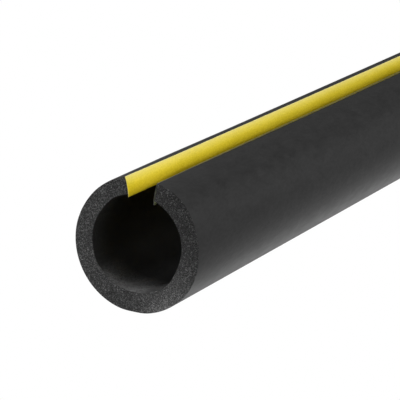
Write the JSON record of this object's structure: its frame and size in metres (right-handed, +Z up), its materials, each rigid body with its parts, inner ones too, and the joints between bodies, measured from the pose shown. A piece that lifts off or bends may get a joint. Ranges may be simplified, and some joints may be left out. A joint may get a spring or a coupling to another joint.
{
  "type": "pipe insulation lagging",
  "caption": "Straight length of black foam pipe insulation, slit lengthwise and sprung slightly open, with a yellow release liner over the glued lip on each side of the slit.",
  "frame": {"origin": "middle of the bounding box's base, on the surface that the tube lies on, under the middle of its length", "axes": "+X along the tube, from the end that the picture shows to the far end; +Z up; -Y the side towards which the slit opens and from which the picture is taken"},
  "size_m": [1, 0.062, 0.0618],
  "materials": {
    "foam": "matt closed-cell polyethylene foam, smooth extruded skin inside and outside, fine open cells on the cut ends",
    "release_liner": "thin satin yellow film"
  },
  "bodies": {
    "root": {"foam_tube": "foam", "back_release_liner": "release_liner", "front_release_liner": "release_liner"}
  },
  "joints": []
}
